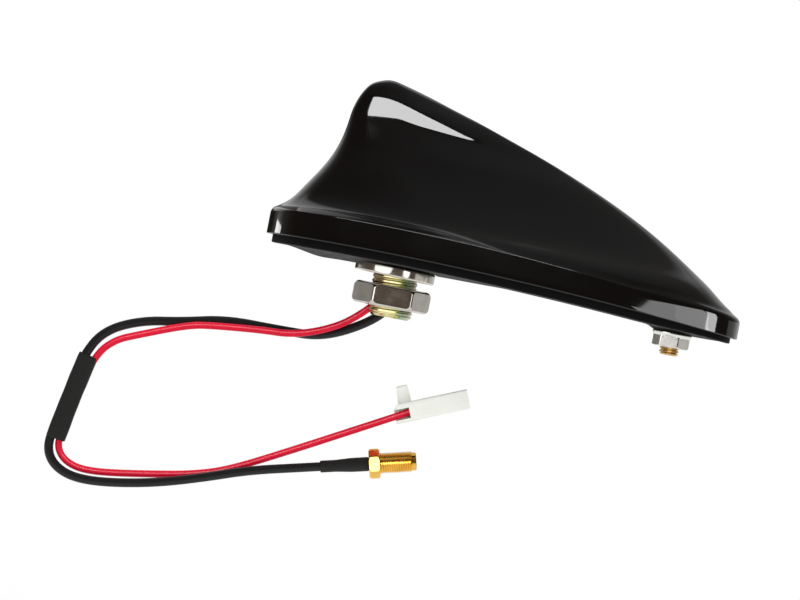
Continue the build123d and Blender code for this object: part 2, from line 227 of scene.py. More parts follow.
def redJacket():
    material = finish("redJacket", (0.7, 0.0005, 0.03), 0.3, specular=0.22)
    mottle(material, 220, (0.66, 0.0005, 0.026), (0.74, 0.0005, 0.034))
    roughen(material, 80, 0.29, 0.31)
    return material


def heatShrink():
    material = finish("heatShrink", (0.014, 0.0135, 0.013), 0.55, specular=0.25)
    roughen(material, 400, 0.48, 0.66)
    dent(material, 900, 0.06, 0.6, 4.0)
    return material


def goldPlate():
    material = finish("goldPlate", (0.83, 0.5, 0.09), 0.18, 1.0)
    mottle(material, 350, (0.78, 0.44, 0.06), (0.88, 0.56, 0.12))
    roughen(material, 900, 0.13, 0.24)
    return material


def clearNylon():
    material = finish("clearNylon", (0.9, 0.91, 0.845), 0.35, ior=1.4)
    mottle(material, 160, (0.88, 0.895, 0.825), (0.925, 0.93, 0.87))
    roughen(material, 500, 0.3, 0.45)
    return material


def castAlloy():
    material = finish("castAlloy", (0.55, 0.55, 0.55), 0.45, 1.0)
    dent(material, 1200, 0.05)
    return material


def screwSteel():
    material = finish("screwSteel", (0.6, 0.6, 0.6), 0.3, 1.0)
    roughen(material, 900, 0.24, 0.38)
    return material


def boardGreen():
    material = finish("boardGreen", (0.02, 0.11, 0.05), 0.35)
    mottle(material, 120, (0.016, 0.095, 0.042), (0.026, 0.13, 0.06), (0.4, 0.6))
    return material


def tinPlate():
    material = finish("tinPlate", (0.7, 0.7, 0.68), 0.28, 1.0)
    roughen(material, 500, 0.22, 0.36)
    return material


def waxyWhite():
    material = finish("waxyWhite", (0.85, 0.85, 0.82), 0.4)
    mottle(material, 900, (0.82, 0.82, 0.79), (0.88, 0.88, 0.85))
    return material


finishes = {
    "gloss_black": glossBlack(), "cast_base": castAlloy(), "seal_rubber": sealRubber(),
    "yellow_passivated": yellowPassivate(), "nickel": brightNickel(), "plain_brass": warmBrass(),
    "screw_steel": screwSteel(), "board_green": boardGreen(), "tinned_steel": tinPlate(),
    "cable_black": cableJacket(), "wire_red": redJacket(), "shrink_black": heatShrink(),
    "gold": goldPlate(), "insulator_white": waxyWhite(), "housing_white": clearNylon(),
    "bright_zinc": brightZinc(),
}
print("finishes:", len(finishes))


# Leads: the routes are control points of one smooth spline each, in millimetres
coax = {
    "diameter": 2.8, "length": 257.5, "exit": (1.6, 1.1, -12.7),
    "route": [
        (2.0, 1.0, 12.6), (2.0, 1.0, 1.5), (1.6, 1.1, -12.7), (-16.9, 1.4, -24.8),
        (-32.5, 1.4, -25.2), (-48.8, 1.4, -25.2), (-62.0, 1.4, -28.4), (-74.1, 1.3, -30.4),
        (-84.5, 0.7, -35.3), (-89.4, 0.0, -43.1), (-92.8, 0.0, -58.0), (-94.6, 0.0, -68.1),
        (-95.3, -0.2, -73.7), (-93.4, -0.6, -78.0), (-88.9, -1.0, -80.9), (-82.3, -1.3, -81.9),
        (-72.2, -1.4, -80.9), (-59.2, -1.4, -78.2), (-45.9, -1.4, -74.0), (-33.0, -1.3, -69.3),
        (-16.0, -1.2, -65.1), (0.7, -1.2, -60.9),
    ],
}
powerWire = {
    "diameter": 2.2, "length": 261.6, "exit": (-1.9, -1.3, -8.6),
    "route": [
        (-1.4, -1.3, 12.6), (-1.4, -1.3, 3.0), (-1.9, -1.3, -8.6), (-10.8, -1.2, -18.1),
        (-19.2, -1.2, -22.9), (-28.6, -1.2, -25.9), (-37.3, -1.2, -26.2), (-51.8, -1.2, -27.7),
        (-59.4, -1.1, -28.9), (-73.9, -1.0, -34.7), (-81.3, -0.6, -37.9), (-86.3, 0.0, -43.7),
        (-89.9, 0.0, -58.1), (-91.8, 0.0, -68.5), (-92.4, 0.2, -73.0), (-90.2, 0.6, -76.6),
        (-86.0, 1.0, -78.6), (-80.3, 1.2, -78.9), (-72.7, 1.2, -78.0), (-60.3, 1.2, -75.9),
        (-50.0, 1.2, -73.9), (-39.4, 1.2, -70.5), (-21.8, 1.2, -61.1), (-4.8, 1.2, -51.7),
        (13.5, 1.2, -41.55),
    ],
}
leadSmoothness = {"order": 3, "along": 12, "round": 8}


def addPiece(name, data):
    piece = bpy.data.objects.new(name, data)
    scene.collection.objects.link(piece)
    return piece


def routeCurve(name, route):
    curve = bpy.data.curves.new(name, "CURVE")
    curve.dimensions = "3D"
    spline = curve.splines.new("NURBS")
    spline.points.add(len(route) - 1)
    for point, place in zip(spline.points, route):
        point.co = (*(Vector(place) * mm), 1)
    spline.order_u = leadSmoothness["order"]
    spline.use_endpoint_u = True
    spline.resolution_u = leadSmoothness["along"]
    return addPiece(name, curve)


def lead(name, facts, slot):
    piece = routeCurve(name, facts["route"])
    piece.data.bevel_depth = facts["diameter"] / 2 * mm
    piece.data.bevel_resolution = leadSmoothness["round"]
    piece.data.use_fill_caps = True
    piece.data.materials.append(finishes[slot])
    return piece


def readLine(name, route):
    # Points along a route's spline, for pieces that follow it
    guide = routeCurve(name, route)
    line = bpy.data.meshes.new_from_object(guide.evaluated_get(bpy.context.evaluated_depsgraph_get()))
    points = [vertex.co.copy() for vertex in line.vertices]
    bpy.data.meshes.remove(line)
    bpy.data.objects.remove(guide)
    return points


coaxLead = lead("coaxLead", coax, "cable_black")
redLead = lead("redLead", powerWire, "wire_red")
print("leads:", coax["length"], "and", powerWire["length"], "mm")


# Mesh helpers: rings of points joined into closed skins
weld = {"distance": 1e-7, "tiny": 1e-8}


def tidyMesh(mesh, sharpAngle):
    work = bmesh.new()
    work.from_mesh(mesh)
    bmesh.ops.remove_doubles(work, verts=work.verts, dist=weld["distance"])
    bmesh.ops.dissolve_degenerate(work, edges=work.edges, dist=weld["tiny"])
    bmesh.ops.recalc_face_normals(work, faces=work.faces)
    work.to_mesh(mesh)
    work.free()
    mesh.shade_smooth()
    mesh.set_sharp_from_angle(angle=math.radians(sharpAngle))


def skin(name, rings, slot, closedLoop=False, sharpAngle=35.0):
    around = len(rings[0])
    points = [point for ring in rings for point in ring]
    spans = len(rings) if closedLoop else len(rings) - 1
    faces = []
    for i in range(spans):
        low = i * around
        high = (i + 1) % len(rings) * around
        for j in range(around):
            k = (j + 1) % around
            faces.append((low + j, low + k, high + k, high + j))
    if not closedLoop:
        faces.append(tuple(range(around)))
        faces.append(tuple(range(len(points) - around, len(points))))
    mesh = bpy.data.meshes.new(name)
    mesh.from_pydata(points, [], faces)
    tidyMesh(mesh, sharpAngle)
    mesh.materials.append(finishes[slot])
    return addPiece(name, mesh)


def evenAngles(count):
    return [2 * math.pi * k / count for k in range(count)]


def linesToRings(lines):
    return [[line[k] for line in lines] for k in range(len(lines[0]))]


def atAngle(angle, reach, height):
    return Vector((reach * math.cos(angle), reach * math.sin(angle), height)) * mm


def turnedRings(profile, count):
    # Rings of a profile of radii and heights, turned about Z
    return [[atAngle(angle, point.x, point.y) for angle in evenAngles(count)] for point in profile]


def roundCorners(outline, radius, steps, most=0.45):
    # A closed outline whose corners become small curves, each over less than half of a side
    rounded = []
    for i, corner in enumerate(outline):
        corner = Vector(corner)
        before = Vector(outline[i - 1]) - corner
        after = Vector(outline[(i + 1) % len(outline)]) - corner
        start = corner + before.normalized() * min(radius, before.length * most)
        end = corner + after.normalized() * min(radius, after.length * most)
        for step in range(steps + 1):
            t = step / steps
            rounded.append(start * (1 - t) ** 2 + corner * (2 * t * (1 - t)) + end * t**2)
    return rounded


def divide(outline, step):
    # Extra points on the long straights of a closed outline
    fine = []
    for i, point in enumerate(outline):
        ahead = outline[(i + 1) % len(outline)]
        parts = max(1, math.ceil((ahead - point).length / step))
        fine += [point.lerp(ahead, k / parts) for k in range(parts)]
    return fine


def hexReach(angle, flats, edgeRound):
    # How far a hexagon with rounded edges reaches in a direction, a corner at angle 0
    sector = math.pi / 3
    off = abs((angle + sector / 2) % sector - sector / 2)
    half = flats / 2
    flatReach = half / math.cos(sector / 2 - off)
    centre = (half - edgeRound) / math.cos(sector / 2)
    inside = edgeRound**2 - (centre * math.sin(off)) ** 2
    if half * math.tan(sector / 2 - off) < (half - edgeRound) * math.tan(sector / 2):
        return flatReach
    return centre * math.cos(off) + math.sqrt(max(inside, 0))


def hexAngles(onFlat=12, onEdge=7, edgeSpan=4.0):
    # Directions round a hexagon, close together at its edges
    angles = []
    for sector in range(6):
        corner = sector * 60.0
        angles += [corner - edgeSpan + 2 * edgeSpan * k / (onEdge - 1) for k in range(onEdge)]
        flatSpan = 60.0 - 2 * edgeSpan
        angles += [corner + edgeSpan + flatSpan * (k + 1) / (onFlat + 1) for k in range(onFlat)]
    return [math.radians(angle) for angle in angles]


def barRings(stations, angles):
    # Rings of a bar along Z: each station is a height and a reach, a number or a rule
    return [
        [atAngle(angle, reach(angle) if callable(reach) else reach, height) for angle in angles]
        for height, reach in stations
    ]


def hexStations(flats, bottom, top, chamfer, edgeRound, endReach, rim=0.2, levels=12, crowd=1.6):
    # A hexagon between two heights, its corners turned down at both ends and its rims rounded. Levels crowd
    # towards the ends
    corner = flats / math.sqrt(3)

    def atDepth(depth):
        cone = endReach + (corner - endReach) * math.sqrt(1 - (1 - depth / chamfer) ** 2)
        inset = rim * (1 - math.sqrt(1 - (1 - min(depth / rim, 1)) ** 2))
        return lambda angle: min(hexReach(angle, flats, edgeRound) - inset, cone)

    depths = [chamfer * (k / levels) ** crowd for k in range(levels + 1)]
    lower = [(bottom + depth, atDepth(depth)) for depth in depths]
    upper = [(top - depth, atDepth(depth)) for depth in reversed(depths)]
    return lower + upper


def settle(piece, matrix):
    piece.data.transform(matrix)


def turnBy(degrees, axis):
    return Matrix.Rotation(math.radians(degrees), 4, axis)


def moveBy(x=0.0, y=0.0, z=0.0):
    return Matrix.Translation(Vector((x, y, z)) * mm)


def harden(piece, sharpAngle):
    # Modifiers become plain mesh
    bpy.context.view_layer.update()
    solid = bpy.data.meshes.new_from_object(piece.evaluated_get(bpy.context.evaluated_depsgraph_get()))
    piece.modifiers.clear()
    piece.data = solid
    tidyMesh(solid, sharpAngle)


def seat(piece, node):
    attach(piece, "root")
    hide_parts(node)
    return piece


# Thread cutter: a node tree that sinks a helix into a turned blank
thread = {"crestEnd": 0.3, "valleyStart": 0.98, "sharpAngle": 75.0}


def threadCutter():
    tree = bpy.data.node_groups.new("threadCutter", "GeometryNodeTree")
    tree.interface.new_socket("Geometry", in_out="INPUT", socket_type="NodeSocketGeometry")
    for label in ("Crest Radius", "Depth", "Pitch", "Top", "Wall Radius"):
        tree.interface.new_socket(label, in_out="INPUT", socket_type="NodeSocketFloat")
    tree.interface.new_socket("Finish", in_out="INPUT", socket_type="NodeSocketMaterial")
    tree.interface.new_socket("Geometry", in_out="OUTPUT", socket_type="NodeSocketGeometry")
    nodes = tree.nodes
    links = tree.links
    entry = nodes.new("NodeGroupInput").outputs
    leave = nodes.new("NodeGroupOutput").inputs

    def maths(operation, *values):
        return mathNode(tree, operation, *values)

    x, y, z = splitNode(tree, nodes.new("GeometryNodeInputPosition").outputs["Position"])
    radius = maths("SQRT", maths("ADD", maths("MULTIPLY", x, x), maths("MULTIPLY", y, y)))
    turns = maths("DIVIDE", maths("ARCTAN2", y, x), math.tau)
    share = maths("FRACT", maths("SUBTRACT", maths("DIVIDE", z, entry["Pitch"]), turns))
    wave = maths("ABSOLUTE", maths("SUBTRACT", maths("MULTIPLY", share, 2.0), 1.0))
    valley = rampNode(tree, wave, thread["crestEnd"], thread["valleyStart"], kind="SMOOTHSTEP")
    runOut = rampNode(tree, maths("DIVIDE", maths("SUBTRACT", entry["Top"], z), entry["Pitch"]), 0.0, 1.0)
    cut = maths("MULTIPLY", maths("MULTIPLY", valley, runOut), entry["Depth"])
    reach = maths("MINIMUM", radius, maths("SUBTRACT", entry["Crest Radius"], cut))
    scale = maths("DIVIDE", reach, radius)
    moved = nodes.new("ShaderNodeCombineXYZ")
    links.new(maths("MULTIPLY", x, scale), moved.inputs["X"])
    links.new(maths("MULTIPLY", y, scale), moved.inputs["Y"])
    links.new(z, moved.inputs["Z"])
    outside = maths("GREATER_THAN", radius, entry["Wall Radius"])
    below = maths("LESS_THAN", z, entry["Top"])
    sink = nodes.new("GeometryNodeSetPosition")
    links.new(entry["Geometry"], sink.inputs["Geometry"])
    links.new(maths("MULTIPLY", outside, below), sink.inputs["Selection"])
    links.new(moved.outputs["Vector"], sink.inputs["Position"])
    whole = nodes.new("GeometryNodeRealizeInstances")
    links.new(sink.outputs["Geometry"], whole.inputs["Geometry"])
    coat = nodes.new("GeometryNodeSetMaterial")
    links.new(whole.outputs["Geometry"], coat.inputs["Geometry"])
    links.new(entry["Finish"], coat.inputs["Material"])
    links.new(coat.outputs["Geometry"], leave["Geometry"])
    return tree


cutter = threadCutter()


def cutThread(piece, slot, facts, top):
    modifier = piece.modifiers.new("thread", "NODES")
    modifier.node_group = cutter
    values = {
        "Crest Radius": facts["radius"] * mm, "Depth": facts["depth"] * mm, "Pitch": facts["pitch"] * mm,
        "Top": top * mm, "Wall Radius": facts["threadWall"] * mm, "Finish": finishes[slot],
    }
    for item in cutter.interface.items_tree:
        if item.in_out == "INPUT" and item.name in values:
            modifier[item.identifier] = values[item.name]
    harden(piece, thread["sharpAngle"])


# Cover: a bowed skirt, a ledge and a fin through level sections, all egg shaped in plan
cover = {
    "rear": -41.7, "nose": 106.6, "wideX": -4.0, "half": 31.0, "wall": 2.2, "crownX": -8.5,
    "rimHeight": 3.9, "rimRadius": 1260.0, "topHeight": 11.9, "topRadius": 800.0, "lipRound": 0.35,
    "around": 320, "levels": 84, "wallRows": 8, "lipRows": 4, "sharpAngle": 50.0,
    # level, rear end, front end, where it is widest, half width
    "sections": [
        (2.0, -41.2, 106.2, -4.0, 30.6), (5.0, -41.1, 105.3, 2.0, 30.3), (8.0, -40.9, 101.5, 14.0, 29.4),
        (12.2, -39.1, 96.0, 22.0, 26.6), (15.5, -36.0, 91.2, 18.0, 22.6), (20.0, -32.8, 84.3, 9.0, 18.8),
        (27.0, -28.3, 72.3, -1.0, 14.8), (35.0, -24.8, 55.2, -4.0, 11.1), (43.0, -23.3, 34.2, -6.0, 7.8),
        (45.5, -22.95, 26.7, -6.5, 6.8), (49.0, -22.0, 16.0, -7.5, 6.0), (51.5, -20.9, 7.5, -9.0, 5.2),
        (53.0, -20.0, 2.6, -10.0, 4.4), (55.4, -17.4, -6.0, -12.0, 3.0), (56.5, -14.4, -10.6, -12.5, 1.4),
    ],
    "tip": (56.75, -12.6),
    # the skirt's top lifts towards the nose
    "lift": {"height": 1.5, "fromX": 68.0, "run": 28.0},
    # its edge is keen along the sides, softer at the rear corner and fading out towards the nose
    "edge": {
        "side": 0.08, "rear": 1.5, "rearX": -41.5, "rearRun": 8.0, "nose": 2.2, "noseX": 52.0,
        "noseRun": 24.0,
    },
    # the ledge's rows are shared by its edge, its flat and its foot; a narrow ledge is one soft curve
    "ledge": {
        "rows": 26, "edgeEnd": 0.35, "flatEnd": 0.6, "edgeMost": 0.4, "footMost": 0.6, "softWidth": 0.8,
        "softRun": 2.0,
    },
    # the fin's flank begins above the skirt's top, less so towards the nose
    "foot": {"round": 2.6, "rise": 2.05, "fromX": 6.0, "run": 38.0, "step": 0.05},
    # going up, sections are drawn to a keener front edge, and a little at the rear
    "ridge": {"from": 16.0, "full": 50.0, "front": 0.8, "rear": 0.2, "power": 1.8},
    # an upright band near the top runs down a little towards the nose
    "band": {
        "from": 34.0, "rise": 9.0, "until": 50.0, "fade": 4.0, "startX": -7.0, "ease": 5.0, "fall": 0.12,
        "top": 55.0,
    },
    # the flank is filled out below the ridge, in a strip that narrows towards the nose
    "fill": {
        "slope": 0.22, "height": 3.6, "heightX": -2.0, "narrowing": 0.15, "least": 1.4, "most": 4.2,
        "level": 46.0, "levelX": -19.0, "fall": 0.097, "fromX": -9.0, "run": 9.0, "untilX": 14.0, "fade": 7.0,
        "runOut": 5.0, "middle": 0.01,
    },
    # the hollow follows the fin over this share of its height
    "hollow": {"from": 0.12, "span": 0.62, "rows": 8},
}


def splineThrough(times, values):
    # Natural cubic spline as a rule of time
    n = len(times)
    steps = [times[i + 1] - times[i] for i in range(n - 1)]
    slopes = [(values[i + 1] - values[i]) / steps[i] for i in range(n - 1)]
    diagonal, carry, bends = [1.0] * n, [0.0] * n, [0.0] * n
    for i in range(1, n - 1):
        diagonal[i] = 2 * (steps[i - 1] + steps[i]) - steps[i - 1] * carry[i - 1]
        carry[i] = steps[i] / diagonal[i]
        bends[i] = (3 * (slopes[i] - slopes[i - 1]) - steps[i - 1] * bends[i - 1]) / diagonal[i]
    for i in range(n - 2, -1, -1):
        bends[i] -= carry[i] * bends[i + 1]

    def value(time):
        i = max(k for k in range(n - 1) if times[k] <= time or k == 0)
        t = time - times[i]
        slope = slopes[i] - steps[i] * (2 * bends[i] + bends[i + 1]) / 3
        return values[i] + t * (slope + t * (bends[i] + t * (bends[i + 1] - bends[i]) / (3 * steps[i])))

    return value


def finRule(frontWeight=0.5):
    # The fin's sizes against a running distance up its sections, turned over smoothly at the tip
    tipLevel, tipX = cover["tip"]
    tip = (tipLevel, tipX, tipX, tipX, 0.0)
    last = cover["sections"][-1]
    beyond = (last[0], 2 * tipX - last[1], 2 * tipX - last[2], 2 * tipX - last[3], -last[4])
    table = [*cover["sections"], tip, beyond]
    times = [0.0]
    for a, b in zip(table, table[1:]):
        step = math.hypot(a[0] - b[0], (a[2] - b[2]) * frontWeight, a[4] - b[4])
        times.append(times[-1] + step)
    rules = [splineThrough(times, [row[k] for row in table]) for k in range(5)]
    return rules, times[len(cover["sections"])]


finSizes, tipTime = finRule()


def smooth(value, start=0.0, run=1.0):
    t = min(max((value - start) / run, 0.0), 1.0)
    return t * t * (3 - 2 * t)


def evenRamp(t, ease=0.12):
    # A straight climb from 0 to 1, eased only at its ends
    t = min(max(t, 0.0), 1.0)
    if t < ease:
        return t * t / (2 * ease * (1 - ease))
    if t > 1 - ease:
        return 1 - (1 - t) ** 2 / (2 * ease * (1 - ease))
    return (t - ease / 2) / (1 - ease)


def bezier(points, t):
    while len(points) > 1:
        points = [a.lerp(b, t) for a, b in zip(points, points[1:])]
    return points[0]


def atLevel(point, level):
    return Vector((point.x, point.y, level))


def eggPoint(angle, rear, front, wideX, half, level, ridge=0.0):
    along = math.cos(angle)
    across = math.sin(angle)
    reach = front - wideX if along >= 0 else wideX - rear
    keen = ridge * cover["ridge"]["front" if along >= 0 else "rear"]
    square = across * across
    width = math.sqrt((1 - keen) * square + keen * square ** cover["ridge"]["power"])
    return Vector((wideX + reach * along, math.copysign(half * width, across), level))


def planPoint(angle, inset):
    rear, nose = cover["rear"] + inset, cover["nose"] - inset
    return eggPoint(angle, rear, nose, cover["wideX"], cover["half"] - inset, 0)


widthAt = splineThrough([row[0] for row in cover["sections"]], [row[4] for row in cover["sections"]])


def flankFill(x, level):
    fill = cover["fill"]
    height = fill["height"] - fill["narrowing"] * (x - fill["heightX"])
    height = min(max(height, fill["least"]), fill["most"])
    above = level - fill["level"] + fill["fall"] * (x - fill["levelX"])
    part = smooth(x, fill["fromX"], fill["run"]) * (1 - smooth(x, fill["untilX"], fill["fade"]))
    ends = evenRamp(above / height) * (1 - smooth(above, height, fill["runOut"]))
    return fill["slope"] * height * part * ends


def finPoint(angle, time):
    level, rear, front, wideX, half = [rule(time) for rule in finSizes]
    ridge, band = cover["ridge"], cover["band"]
    keen = smooth(level, ridge["from"], ridge["full"] - ridge["from"])
    point = eggPoint(angle, rear, front, wideX, half, level, keen)
    share = smooth(level, band["from"], band["rise"]) * (1 - smooth(level, band["until"], band["fade"]))
    if share > 0:
        ahead = point.x - band["startX"]
        down = band["fall"] * (ahead + math.hypot(ahead, band["ease"])) / 2
        point.y *= 1 + share * (widthAt(min(level + down, band["top"])) / widthAt(level) - 1)
        if abs(point.y) > cover["fill"]["middle"]:
            point.y += math.copysign(flankFill(point.x, level), point.y)
    return point


def bowed(x, height, radius):
    return height - radius + math.sqrt(radius**2 - (x - cover["crownX"]) ** 2)


def rimLevel(x):
    return bowed(x, cover["rimHeight"], cover["rimRadius"])


def skirtTop(x):
    lift = cover["lift"]
    raised = lift["height"] * smooth(x, lift["fromX"], lift["run"])
    return bowed(x, cover["topHeight"], cover["topRadius"]) + raised


def edgeRound(x):
    edge = cover["edge"]
    rear = edge["rear"] * (1 - smooth(x, edge["rearX"], edge["rearRun"]))
    return edge["side"] + rear + edge["nose"] * smooth(x, edge["noseX"], edge["noseRun"])


def footTime(angle, halvings=30):
    # Where the fin's flank begins in this direction, somewhere in its lower half
    foot = cover["foot"]
    low, high = 0.0, tipTime / 2
    for step in range(halvings):
        middle = (low + high) / 2
        point = finPoint(angle, middle)
        rise = foot["rise"] * (1 - smooth(point.x, foot["fromX"], foot["run"]))
        low, high = (middle, high) if point.z < skirtTop(point.x) + rise else (low, middle)
    return (low + high) / 2


def shoulder(wallTop, edge, foot, finStart):
    # From the skirt's wall over its edge and the ledge, and round into the fin
    ledge = cover["ledge"]
    edgeEnd, flatEnd = ledge["edgeEnd"], ledge["flatEnd"]
    width = (foot - edge).length
    along = (foot - edge).normalized()
    first = edge + along * min(edgeRound(edge.x), width * ledge["edgeMost"])
    second = foot - along * min(cover["foot"]["round"], width * ledge["footMost"])
    apart = smooth(width, ledge["softWidth"], ledge["softRun"])
    points = []
    for k in range(1, ledge["rows"]):
        t = k / ledge["rows"]
        soft = bezier([wallTop, edge, foot, finStart], t)
        if t < edgeEnd:
            crisp = bezier([wallTop, edge, first], t / edgeEnd)
        elif t < flatEnd:
            crisp = first.lerp(second, (t - edgeEnd) / (flatEnd - edgeEnd))
        else:
            crisp = bezier([second, foot, finStart], (t - flatEnd) / (1 - flatEnd))
        points.append(soft.lerp(crisp, apart))
    return points


def hollowLine(angle, inner):
    # Down the inside of the fin and of the skirt
    hollow, wall = cover["hollow"], cover["wall"]
    top = skirtTop(inner.x) - wall
    line = []
    for k in range(hollow["rows"] + 1):
        share = 1 - k / hollow["rows"]
        time = tipTime * (hollow["from"] + hollow["span"] * share)
        level, rear, front, wideX, half = [rule(time) for rule in finSizes]
        point = eggPoint(angle, rear + wall, front - 2 * wall, wideX, half - wall, level - wall, share)
        if point.z <= top - wall:
            point = atLevel(inner, top).lerp(point, 0.5)
        line.append(point)
    return [*line, atLevel(inner, top), atLevel(inner, rimLevel(inner.x))]


def coverMeridian(angle):
    # One line of the cover, from inside the tip down, round the rim and up over the fin
    outer = planPoint(angle, 0)
    inner = planPoint(angle, cover["wall"])
    line = hollowLine(angle, inner)
    below = atLevel(outer, rimLevel(outer.x))
    lipTop = below + Vector((0, 0, cover["lipRound"]))
    lipStart = below + (inner - outer).normalized() * cover["lipRound"]
    lipRows, wallRows, levels = cover["lipRows"], cover["wallRows"], cover["levels"]
    line += [bezier([lipStart, below, lipTop], k / lipRows) for k in range(lipRows + 1)]
    edge = atLevel(outer, skirtTop(outer.x))
    wallTop = edge - Vector((0, 0, edgeRound(edge.x)))
    line += [lipTop.lerp(wallTop, 1 - (1 - k / wallRows) ** 2) for k in range(1, wallRows + 1)]
    startAt = footTime(angle)
    foot = finPoint(angle, startAt)
    while (finPoint(angle, startAt) - foot).length < cover["foot"]["round"]:
        startAt += cover["foot"]["step"]
    line += shoulder(wallTop, edge, foot, finPoint(angle, startAt))
    line += [finPoint(angle, startAt + (tipTime - startAt) * k / levels) for k in range(levels)]
    return [point * mm for point in line]


def makeCover():
    rings = linesToRings([coverMeridian(angle) for angle in evenAngles(cover["around"])])
    tipLevel, tipX = cover["tip"]
    rings.append([Vector((tipX, 0, tipLevel)) * mm] * cover["around"])
    piece = skin("coverShell", rings, "gloss_black", sharpAngle=cover["sharpAngle"])
    return seat(piece, "fin_shell")


coverShell = makeCover()
print("cover:", len(coverShell.data.polygons), "faces")


# Seal under the cover: its edge follows the roof and it swells to a keel along the middle
seal = {
    "inset": 2.0, "thickness": 2.6, "hole": 7.3, "edgeRound": 0.5, "edgeRows": 5, "swell": 2.6,
    "around": 360, "across": 44, "sharpAngle": 50.0,
    # round the main stud a boss leans with the washer, and at the nose a pad carries the front nut
    "boss": {"radius": 11.6, "rim": 0.3, "foot": 0.7, "level": 0.95, "lean": 1.75},
    "pad": {"x": 86.8, "level": -3.05, "radius": 6.8, "slope": 1.2},
    "nose": {"rise": 0.7, "fromX": 75.0, "run": 25.0},
    # place along the roof and level of the keel
    "keel": [
        (-39.7, 0.95), (-34.5, 0.9), (-29.3, 0.1), (-24.5, -0.6), (-19.0, -0.5), (-13.0, -0.4), (0.0, -0.1),
        (13.0, 0.2), (25.0, 0.3), (37.0, 0.4), (46.0, 0.15), (54.0, -0.15), (64.0, -0.65), (74.0, -1.45),
        (78.5, -1.85), (81.0, -2.75), (84.5, -3.0), (92.0, -3.0), (98.0, -2.95), (104.6, -2.7),
    ],
}

keelRule = splineThrough(*zip(*seal["keel"]))


def sealShare(x, y):
    # How far out towards the seal's edge a place lies
    wideX, inset = cover["wideX"], seal["inset"]
    reach = cover["nose"] - inset - wideX if x > wideX else wideX - cover["rear"] - inset
    along = min(abs(x - wideX) / reach, 1.0)
    half = (cover["half"] - inset) * math.sqrt(1 - along * along)
    return min(abs(y) / half, 1.0) if half > 0.01 else 1.0


def sealLevel(x, y):
    pad, nose = seal["pad"], seal["nose"]
    edge = rimLevel(x) - seal["thickness"] + nose["rise"] * smooth(x, nose["fromX"], nose["run"])
    level = edge + (keelRule(x) - edge) * (1 - sealShare(x, y)) ** seal["swell"]
    onPad = smooth(pad["radius"] - math.hypot(x - pad["x"], y), run=pad["slope"])
    return level + (pad["level"] - level) * onPad


def sealLine(angle):
    # One line of the seal from its hole out along the underside, up the edge and back inside the cover
    outer = planPoint(angle, seal["inset"])
    reach, way = outer.length, outer.normalized()
    boss, hole, curve, edgeRows = seal["boss"], seal["hole"], seal["edgeRound"], seal["edgeRows"]
    line = [way * hole, way * boss["radius"], way * (boss["radius"] + boss["rim"])]
    for point in line:
        point.z = boss["level"] - math.tan(math.radians(boss["lean"])) * point.x
    start = boss["radius"] + boss["foot"]
    for k in range(seal["across"] + 1):
        point = way * (start + (reach - curve - start) * k / seal["across"])
        line.append(atLevel(point, sealLevel(point.x, point.y)))
    corner = atLevel(outer, sealLevel(outer.x, outer.y))
    curveEnd = corner + Vector((0, 0, curve))
    line += [bezier([line[-1], corner, curveEnd], k / edgeRows) for k in range(1, edgeRows + 1)]
    for share in (1.0, 0.5):
        point = way * (hole + (reach - hole) * share)
        line.append(atLevel(point, rimLevel(point.x)))
    line.append(atLevel(way * hole, rimLevel(0)))
    return [point * mm for point in line]


def makeSeal():
    rings = linesToRings([sealLine(angle) for angle in evenAngles(seal["around"])])
    piece = skin("roofSeal", rings, "seal_rubber", closedLoop=True, sharpAngle=seal["sharpAngle"])
    seat(piece, "roof_gasket")


makeSeal()


# Main stud: hollow, threaded, slotted for the leads, with its head inside the cover
stud = {
    "radius": 7.0, "bore": 4.6, "bottom": -15.0, "chamfer": 1.0, "seat": 9.0, "step": 0.1,
    "headFlats": 19.0, "headHeight": 3.0, "headChamfer": 0.5, "headRound": 0.3,
    "pitch": 1.5, "depth": 0.34, "threadTop": 8.0, "threadWall": 5.1, "slotWidth": 5.33, "slotTop": -8.5,
}


def studStations(facts, bore):
    # A chamfered rod with a hexagon head on its upper end
    radius, bottom, top, chamfer = facts["radius"], facts["bottom"], facts["seat"], facts["chamfer"]
    flats, headTop = facts["headFlats"], top + facts["headHeight"]
    stations = [(bottom, bore), (bottom, radius - chamfer)]
    steps = round((top - bottom) / facts["step"])
    for k in range(1, steps + 1):
        height = bottom + (top - bottom) * k / steps
        stations.append((height, min(radius, radius - chamfer + (height - bottom))))
    stations += hexStations(flats, top, headTop, facts["headChamfer"], facts["headRound"], flats / 2)
    return [*stations, (headTop, bore)]


def slotKnife():
    near, far, half = -stud["radius"] / 2, -3 * stud["radius"], stud["slotWidth"] / 2
    corners = [(far, -half), (near, -half), (near, half), (far, half)]
    levels = (stud["bottom"] - 1, stud["slotTop"])
    rings = [[Vector((*corner, level)) * mm for corner in corners] for level in levels]
    return skin("slotKnife", rings, "yellow_passivated")


def makeStud():
    rings = barRings(studStations(stud, stud["bore"]), hexAngles())
    piece = skin("mainStud", rings, "yellow_passivated", closedLoop=True)
    cutThread(piece, "yellow_passivated", stud, stud["threadTop"])
    knife = slotKnife()
    slotCut = piece.modifiers.new("slot", "BOOLEAN")
    slotCut.object = knife
    slotCut.operation = "DIFFERENCE"
    slotCut.solver = "EXACT"
    harden(piece, thread["sharpAngle"])
    bpy.data.objects.remove(knife)
    seat(piece, "main_stud")


makeStud()


# Washer: thick, polished, hanging loose so that it leans towards the nose and back
washer = {
    "radius": 12.4, "hole": 7.6, "thickness": 3.4, "round": 0.75, "roundRows": 8, "around": 160,
    "lean": 1.75, "tip": 0.6, "x": -0.5, "level": 0.9, "sharpAngle": 60.0,
}


